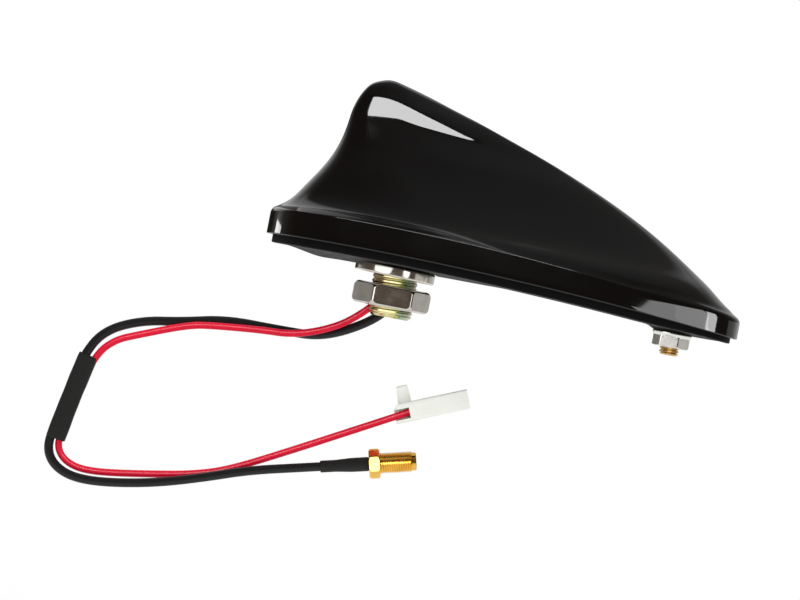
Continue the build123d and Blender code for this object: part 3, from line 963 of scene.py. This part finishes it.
def makeWasher():
    hole, radius, bottom = washer["hole"], washer["radius"], -washer["thickness"]
    outline = [(hole, bottom), (radius, bottom), (radius, 0), (hole, 0)]
    rings = turnedRings(roundCorners(outline, washer["round"], washer["roundRows"]), washer["around"])
    piece = skin("clampWasher", rings, "nickel", closedLoop=True, sharpAngle=washer["sharpAngle"])
    lean = turnBy(washer["lean"], "Y") @ turnBy(washer["tip"], "X")
    settle(piece, moveBy(washer["x"], 0, washer["level"]) @ lean)
    seat(piece, "clamp_washer")


makeWasher()


# Nut on the main stud
nut = {
    "flats": 21.0, "top": -5.3, "height": 6.8, "chamfer": 2.3, "edgeRound": 0.8, "rim": 0.7, "bore": 7.05,
    "endReach": 10.5, "turn": 2.0, "x": -0.2, "levels": 18, "onFlat": 18, "onEdge": 13, "edgeSpan": 5.5,
    "sharpAngle": 60.0,
}


def makeNut():
    top, bottom = nut["top"], nut["top"] - nut["height"]
    body = hexStations(
        nut["flats"], bottom, top, nut["chamfer"], nut["edgeRound"], nut["endReach"], nut["rim"],
        nut["levels"],
    )
    stations = [(bottom, nut["bore"]), *body, (top, nut["bore"])]
    rings = barRings(stations, hexAngles(nut["onFlat"], nut["onEdge"], nut["edgeSpan"]))
    piece = skin("studNut", rings, "nickel", closedLoop=True, sharpAngle=nut["sharpAngle"])
    settle(piece, moveBy(nut["x"]) @ turnBy(nut["turn"], "Z"))
    seat(piece, "stud_nut")


makeNut()


# Front stud and its flange nut
frontStud = {
    "x": 86.8, "radius": 3.0, "bottom": -10.0, "chamfer": 0.6, "seat": 5.0, "step": 0.07,
    "headFlats": 10.0, "headHeight": 3.5, "headChamfer": 0.6, "headRound": 0.3,
    "pitch": 1.0, "depth": 0.52, "threadTop": 4.0, "threadWall": 1.5,
}
frontNut = {
    "top": -3.0, "height": 4.6, "flats": 10.0, "chamfer": 0.7, "edgeRound": 0.4, "bore": 3.05,
    "endReach": 4.75, "flangeRadius": 6.15, "flangeHeight": 1.3, "turn": -10.0, "onFlat": 14, "onEdge": 9,
    "sharpAngle": 30.0,
    # depth below the flange's top and how far inside its radius
    "flangeRim": [(0.55, 0.1), (0.4, 0.0), (0.15, 0.0), (0.0, 0.15)],
    "flangeRoot": (0.2, 0.5),
}


def makeFrontStud():
    rings = barRings(studStations(frontStud, 0.0), hexAngles())
    piece = skin("noseStud", rings, "plain_brass")
    cutThread(piece, "plain_brass", frontStud, frontStud["threadTop"])
    settle(piece, moveBy(frontStud["x"]))
    seat(piece, "front_stud")


def makeFrontNut():
    top, bottom = frontNut["top"], frontNut["top"] - frontNut["height"]
    flangeLow = top - frontNut["flangeHeight"]
    flats, bore, chamfer = frontNut["flats"], frontNut["bore"], frontNut["chamfer"]
    body = hexStations(flats, bottom, flangeLow, chamfer, frontNut["edgeRound"], frontNut["endReach"])
    body = [station for station in body if station[0] <= flangeLow - chamfer + 1e-6]
    whole = body[-1][1]
    rootHeight, rootReach = frontNut["flangeRoot"]
    root = (flangeLow + rootHeight, lambda angle: max(whole(angle), flats / 2 + rootReach))
    rim = [(top - depth, frontNut["flangeRadius"] - inset) for depth, inset in frontNut["flangeRim"]]
    stations = [(bottom, bore), *body, (flangeLow, whole), root, *rim, (top, bore)]
    rings = barRings(stations, hexAngles(frontNut["onFlat"], frontNut["onEdge"]))
    piece = skin("noseNut", rings, "bright_zinc", closedLoop=True, sharpAngle=frontNut["sharpAngle"])
    settle(piece, moveBy(frontStud["x"]) @ turnBy(frontNut["turn"], "Z"))
    seat(piece, "front_nut")


makeFrontStud()
makeFrontNut()
print("studs, nuts and washer made")


# Sleeve round both leads, shrunk to an oval
sleeve = {
    "route": [(-88.2, 0.0, -44.0), (-91.2, 0.0, -57.6), (-93.4, 0.0, -71.1)],
    "width": 6.1, "depth": 3.9, "around": 48, "endRound": 0.4, "endSize": 0.96, "grip": 0.72, "corner": 2.2,
    "sharpAngle": 50.0,
    # size, times along the sleeve and start of each slow wave on its surface
    "waves": [(0.012, 9.0, 0.0), (0.008, 23.0, 1.0)],
}


def ovalPoint(turn):
    # A stadium outline at this share of a turn
    depth, straight = sleeve["depth"], sleeve["width"] - sleeve["depth"]
    c, s = math.cos(turn * math.tau), math.sin(turn * math.tau)
    aside = math.copysign(straight / 2, c) * min(1.0, abs(c) * sleeve["corner"])
    return c * depth / 2 + aside, s * depth / 2


def makeSleeve():
    line = readLine("sleeveLine", sleeve["route"])
    last = len(line) - 1
    oval = [ovalPoint(k / sleeve["around"]) for k in range(sleeve["around"])]
    endRound, ends = sleeve["endRound"], [(sleeve["grip"], 0.0), (sleeve["endSize"], 0.0)]
    rings = []
    for i, point in enumerate(line):
        way = (line[min(i + 1, last)] - line[max(i - 1, 0)]).normalized()
        aside = Vector((way.z, 0, -way.x))
        waves = [size * math.sin(times * i / last + start) for size, times, start in sleeve["waves"]]
        sizes = [(1 + sum(waves), 0.0)]
        if i == 0:
            sizes = [*ends, (1.0, endRound)]
        if i == last:
            sizes = [(1.0, -endRound), *reversed(ends)]
        for size, ahead in sizes:
            rings.append([
                point + (aside * u + Vector((0, v, 0))) * size * mm + way * ahead * mm for u, v in oval
            ])
    piece = skin("bundleSleeve", rings, "shrink_black", sharpAngle=sleeve["sharpAngle"])
    return seat(piece, "bundle_sleeve")


bundleSleeve = makeSleeve()


# Coax jack, made along Z from the end of the coax and laid along its lead
jack = {
    "tail": 1.4, "hexBack": 2.2, "hexFlats": 8.0, "hexLength": 3.4, "hexChamfer": 0.9, "hexRound": 0.25,
    "hexEnd": 3.84, "radius": 3.175, "threadLength": 9.6, "threadWall": 2.55, "pitch": 0.7056, "depth": 0.36,
    "tip": 2.75, "tipLength": 1.6, "tipDraft": 0.05, "mouth": 2.3, "mouthDepth": 1.9, "bore": 2.05,
    "web": 1.0, "pin": 0.64, "step": 0.05, "ease": 0.3, "onFlat": 10,
}
boot = {
    "back": -12.8, "front": 2.2, "neck": 1.85, "swell": 2.2, "neckEnd": -8.0, "swellStart": -3.2,
    "inner": 1.45, "backEase": (0.12, 0.25), "frontEase": (0.2, 0.3), "taper": 0.02, "round": 0.6,
    "roundRows": 4, "step": 0.5, "around": 48, "sharpAngle": 60.0,
}

coaxEnd = Vector(coax["route"][-1])
coaxRun = coaxEnd - Vector(coax["route"][-2])
jackPlace = moveBy(*coaxEnd) @ Matrix.Rotation(math.atan2(coaxRun.x, coaxRun.z), 4, "Y")


def jackStations(hexFront, threadFront):
    back, tail, pin, bore, mouth = jack["hexBack"], jack["tail"], jack["pin"], jack["bore"], jack["mouth"]
    tip, ease, length = jack["tip"], jack["ease"], jack["threadLength"]
    tipFront = threadFront + jack["tipLength"]
    floor, web = tipFront - jack["mouthDepth"], back + jack["web"]
    stations = [(0.0, pin), (0.0, tail), (back, tail)]
    stations += hexStations(
        jack["hexFlats"], back, hexFront, jack["hexChamfer"], jack["hexRound"], jack["hexEnd"],
    )
    steps = round(length / jack["step"])
    stations += [(hexFront + length * k / steps, jack["radius"]) for k in range(steps + 1)]
    stations += [(threadFront + ease, tip + jack["tipDraft"]), (tipFront - ease, tip), (tipFront, tip - ease)]
    return [*stations, (tipFront, mouth), (floor, mouth), (floor, bore), (web, bore), (web, pin)]


def makeJack():
    hexFront = jack["hexBack"] + jack["hexLength"]
    threadFront = hexFront + jack["threadLength"]
    rings = barRings(jackStations(hexFront, threadFront), hexAngles(jack["onFlat"]))
    piece = skin("jackBody", rings, "gold", closedLoop=True)
    # The cutter works up to a height, so the jack is cut from its far end
    flip = moveBy(z=hexFront + threadFront) @ Matrix.Diagonal((1, -1, -1, 1))
    settle(piece, flip)
    cutThread(piece, "gold", jack, threadFront)
    settle(piece, jackPlace @ flip.inverted())
    return seat(piece, "jack_body")


def makeBoot():
    neck, swell, inner, back, front = boot["neck"], boot["swell"], boot["inner"], boot["back"], boot["front"]
    backIn, backLong = boot["backEase"]
    frontIn, frontLong = boot["frontEase"]
    outline = [
        (inner, back), (neck - backIn, back), (neck, back + backLong), (neck, boot["neckEnd"]),
        (swell - boot["taper"], boot["swellStart"]), (swell, front - frontLong), (swell - frontIn, front),
        (inner, front),
    ]
    profile = divide(roundCorners(outline, boot["round"], boot["roundRows"]), boot["step"])
    rings = turnedRings(profile, boot["around"])
    piece = skin("jackBoot", rings, "shrink_black", closedLoop=True, sharpAngle=boot["sharpAngle"])
    settle(piece, jackPlace)
    return seat(piece, "connector_boot")


jackBody = makeJack()
jackBoot = makeBoot()


# Power terminal housing: the node's own form with eased moulded edges
housing = {"ease": 0.3, "steps": 3, "easeAngle": 35.0, "sharpAngle": 40.0}


def makeHousing():
    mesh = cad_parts["terminal_housing"].data.copy()
    mesh.name = "terminalHousing"
    mesh.materials.clear()
    mesh.materials.append(finishes["housing_white"])
    tidyMesh(mesh, housing["easeAngle"])
    piece = addPiece("terminalHousing", mesh)
    ease = piece.modifiers.new("ease", "BEVEL")
    ease.width = housing["ease"] * mm
    ease.segments = housing["steps"]
    ease.limit_method = "ANGLE"
    ease.angle_limit = math.radians(housing["easeAngle"])
    harden(piece, housing["sharpAngle"])
    return seat(piece, "terminal_housing")


terminalHousing = makeHousing()
print("connectors made")


# The nodes that stay as they are get their finish
plainNodes = {
    "base_plate": "cast_base", "shell_screws": "screw_steel", "amplifier_board": "board_green",
    "board_screws": "screw_steel", "shield_can": "tinned_steel", "radiator_board": "board_green",
    "crimp_ferrule": "nickel", "jack_insulator": "insulator_white", "jack_contact": "gold",
    "wire_terminal": "tinned_steel",
}
for node, slot in plainNodes.items():
    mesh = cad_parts[node].data
    mesh.materials.clear()
    mesh.materials.append(finishes[slot])

seat(coaxLead, "coax_cable")
seat(redLead, "power_wire")


# Stage: a pale floor below the picture and plain white beyond it
stage = {
    "floorLevel": -160.0, "floorRadius": 850.0, "floorSides": 64, "floorColor": (0.85, 0.85, 0.85),
    "floorRoughness": 0.8, "fadeFrom": 300.0, "fadeTo": 750.0, "glow": 0.92, "ambient": 0.9,
}


def rayNode(tree, *kinds):
    # 1 for rays of these kinds
    path = tree.nodes.new("ShaderNodeLightPath")
    found = path.outputs[kinds[0]]
    for kind in kinds[1:]:
        found = mathNode(tree, "MAXIMUM", found, path.outputs[kind])
    return found


def mixShaders(tree, share, first, second):
    mix = tree.nodes.new("ShaderNodeMixShader")
    for socket, source in zip(mix.inputs, (share, first, second)):
        tree.links.new(source, socket)
    return mix.outputs["Shader"]


def paleFloor():
    material = finish("paleFloor", stage["floorColor"], stage["floorRoughness"])
    tree = material.node_tree
    nodes = tree.nodes
    # It glows white to the eye and in reflections, fully at its rim
    away = nodes.new("ShaderNodeVectorMath")
    away.operation = "LENGTH"
    tree.links.new(placeNode(tree), away.inputs[0])
    near, far = stage["fadeFrom"] * mm, stage["fadeTo"] * mm
    fade = rampNode(tree, away.outputs["Value"], near, far, stage["glow"], 1.0, "SMOOTHSTEP")
    seen = rayNode(tree, "Is Camera Ray", "Is Glossy Ray", "Is Transmission Ray")
    glow = nodes.new("ShaderNodeEmission").outputs["Emission"]
    lit = mathNode(tree, "MULTIPLY", fade, seen)
    upper = mixShaders(tree, lit, nodes["Principled BSDF"].outputs["BSDF"], glow)
    # Clear from below, so that the underside can be looked at
    clear = nodes.new("ShaderNodeBsdfTransparent").outputs["BSDF"]
    under = nodes.new("ShaderNodeNewGeometry").outputs["Backfacing"]
    tree.links.new(mixShaders(tree, under, upper, clear), nodes["Material Output"].inputs["Surface"])
    return material


def makeFloor():
    sides, radius, level = stage["floorSides"], stage["floorRadius"], stage["floorLevel"]
    ring = [atAngle(angle, radius, level) for angle in evenAngles(sides)]
    mesh = bpy.data.meshes.new("floor")
    mesh.from_pydata(ring, [], [tuple(range(sides))])
    mesh.materials.append(paleFloor())
    addPiece("floor", mesh)


# Room: what reflections show besides the softboxes. A patch is a product of ramps along the way that a ray
# takes: the axis, where the ramp starts and ends, and its top
room = {
    "behind": [("y", 0.0, 0.85, 1.0)],
    "lit": [
        [("aside", 0.55, 0.85, 1.0)], [("z", 0.45, 0.7, 1.0)], [("x", 0.0, 0.12, 0.85)],
        [("x", -0.05, -0.2, 1.0), ("z", 0.06, 0.22, 1.0)],
    ],
    "extra": [
        [("y", 0.1, 0.5, 1.0), ("z", 0.4, 0.65, 1.0), ("x", 0.25, 0.05, 1.0)],
        [("x", 0.05, 0.15, 0.85), ("z", 0.12, 0.3, 1.0), ("y", 0.45, 0.75, 1.0)],
        [("z", 0.5, 0.95, 0.5)],
    ],
    "base": 0.25, "shade": 0.25,
    "colors": [
        (0.0, (0.03, 0.025, 0.02)), (0.25, (0.105, 0.08, 0.064)), (0.62, (0.24, 0.23, 0.22)),
        (1.0, (1, 1, 1)),
    ],
}


def roomBrightness(tree):
    x, y, z = splitNode(tree, placeNode(tree, "Generated"))
    ways = {"x": x, "y": y, "z": z, "aside": mathNode(tree, "ABSOLUTE", x)}

    def combine(operation, sources):
        total = sources[0]
        for source in sources[1:]:
            total = mathNode(tree, operation, total, source)
        return total

    def patch(ramps):
        return combine("MULTIPLY", [
            rampNode(tree, ways[way], low, high, 0.0, top, "SMOOTHSTEP") for way, low, high, top in ramps
        ])

    behind = patch(room["behind"])
    lit = combine("MAXIMUM", [patch(ramps) for ramps in room["lit"]])
    unlit = combine("MULTIPLY", [behind, mathNode(tree, "SUBTRACT", 1.0, lit)])
    bright = [combine("MULTIPLY", [behind, lit]), *[patch(ramps) for ramps in room["extra"]]]
    light = mathNode(tree, "MULTIPLY_ADD", combine("MAXIMUM", bright), 1 - room["base"], room["base"])
    return mathNode(tree, "SUBTRACT", light, mathNode(tree, "MULTIPLY", unlit, room["shade"]))


def makeWorld():
    # White to the eye; in reflections white behind the aerial and a dim room before it
    world = bpy.data.worlds.new("studio")
    scene.world = world
    world.use_nodes = True
    tree = world.node_tree
    nodes = tree.nodes
    white = nodes["Background"]
    white.inputs["Color"].default_value = (1, 1, 1, 1)
    ambient = nodes.new("ShaderNodeBackground")
    ambient.inputs["Color"].default_value = (stage["ambient"],) * 3 + (1,)
    mirrored = nodes.new("ShaderNodeBackground")
    tree.links.new(colorNode(tree, roomBrightness(tree), room["colors"]), mirrored.inputs["Color"])
    glossy = rayNode(tree, "Is Glossy Ray")
    around = mixShaders(tree, glossy, ambient.outputs["Background"], mirrored.outputs["Background"])
    seen = rayNode(tree, "Is Camera Ray", "Is Transmission Ray")
    whole = mixShaders(tree, seen, around, white.outputs["Background"])
    tree.links.new(whole, nodes["World Output"].inputs["Surface"])


# Softboxes: the way to each in degrees (left to right, low to high, and its roll) and its distance in metres,
# or the place where it stands; its size, its brightness and the pieces whose reflections show it. Those
# without pieces light the whole scene and aren't mirrored
onCover = ("coverShell",)
metals = ("clampWasher", "studNut", "mainStud", "noseNut")
softboxes = {
    "wedge": {"turn": -11.0, "rise": 21.8, "off": 0.9, "size": (1.24, 0.53), "radiance": 15.5, "on": onCover},
    "noseStrip": {
        "turn": 50.0, "roll": 21.0, "at": (0.18004, -0.12797, -0.02824), "size": (0.048, 0.08),
        "radiance": 4.1, "on": onCover,
    },
    "noseMiddle": {
        "turn": 55.0, "roll": 21.0, "at": (0.2138, -0.0919, -0.0144), "size": (0.0555, 0.09),
        "radiance": 4.8, "on": onCover,
    },
    "noseEdge": {
        "turn": 62.0, "at": (0.238, -0.067, -0.0075), "size": (0.03, 0.09), "radiance": 10.0, "on": onCover,
    },
    "noseBack": {
        "turn": 120.0, "at": (0.236, 0.075, -0.008), "size": (0.16, 0.06), "radiance": 0.6, "on": onCover,
    },
    "rearStrip": {
        "turn": -121.5, "roll": -4.0, "at": (-0.14, 0.05, 0.0014), "size": (0.03, 0.014), "radiance": 7.5,
        "on": onCover,
    },
    "metalLeft": {
        "turn": -35.0, "rise": 6.0, "off": 0.6, "size": (0.6, 0.36), "radiance": 1.6, "shape": "ELLIPSE",
        "on": metals,
    },
    "metalMid": {
        "turn": 10.0, "rise": 2.0, "off": 0.6, "size": (0.5, 0.26), "radiance": 1.8,
        "on": ("mainStud", "noseStud"),
    },
    "jackFace": {
        "turn": 4.0, "rise": -7.0, "off": 0.6, "size": (0.5, 0.17), "radiance": 7.0, "on": ("jackBody",),
    },
    "washerSpot": {
        "turn": 33.0, "off": 0.6, "size": (0.2, 0.16), "radiance": 1.7, "shape": "ELLIPSE",
        "on": ("clampWasher",),
    },
    "metalSide": {
        "turn": 86.0, "rise": 4.0, "off": 0.5, "size": (0.46, 0.3), "radiance": 0.6, "on": ("clampWasher",),
    },
    "noseSide": {"turn": 100.0, "off": 0.5, "size": (0.3, 0.3), "radiance": 0.36, "on": ("noseNut",)},
    "metalRight": {
        "turn": 36.0, "rise": 2.0, "off": 0.6, "size": (0.28, 0.3), "radiance": 1.5, "on": ("studNut",),
    },
    "metalTop": {
        "turn": 0.0, "rise": 55.0, "off": 0.8, "size": (1.0, 0.5), "radiance": 0.6,
        "on": ("jackBody", "noseStud", "mainStud", "noseNut"),
    },
    "leadLine": {
        "turn": 5.0, "rise": 24.0, "off": 0.8, "size": (1.2, 0.26), "radiance": 14.0, "on": ("redLead",),
    },
    "overhead": {"turn": -20.0, "rise": 62.0, "off": 1.2, "size": (1.2, 1.2), "radiance": 0.9},
    "front": {"turn": 15.0, "rise": 20.0, "off": 1.6, "size": (1.2, 1.0), "radiance": 0.8},
}


def makeSoftbox(name, box):
    lamp = bpy.data.lights.new(name, "AREA")
    lamp.shape = box.get("shape", "RECTANGLE")
    lamp.size, lamp.size_y = box["size"]
    lamp.energy = box["radiance"] * math.pi * lamp.size * lamp.size_y
    turn, rise = math.radians(box["turn"]), math.radians(box.get("rise", 0.0))
    way = Vector((math.sin(turn) * math.cos(rise), -math.cos(turn) * math.cos(rise), math.sin(rise)))
    facing = way.to_track_quat("Z", "Y").to_matrix().to_4x4() @ turnBy(box.get("roll", 0.0), "Z")
    spot = Vector(box["at"]) if "at" in box else way * box["off"]
    piece = addPiece(name, lamp)
    piece.matrix_world = Matrix.Translation(spot) @ facing
    piece.visible_camera = False
    mirrored = "on" in box
    piece.visible_diffuse = not mirrored
    piece.visible_glossy = mirrored
    if mirrored:
        shown = bpy.data.collections.new(name + "Shown")
        for label in box["on"]:
            shown.objects.link(bpy.data.objects[label])
        piece.light_linking.receiver_collection = shown


makeFloor()
makeWorld()
for name, box in softboxes.items():
    makeSoftbox(name, box)
print("stage and lights made")
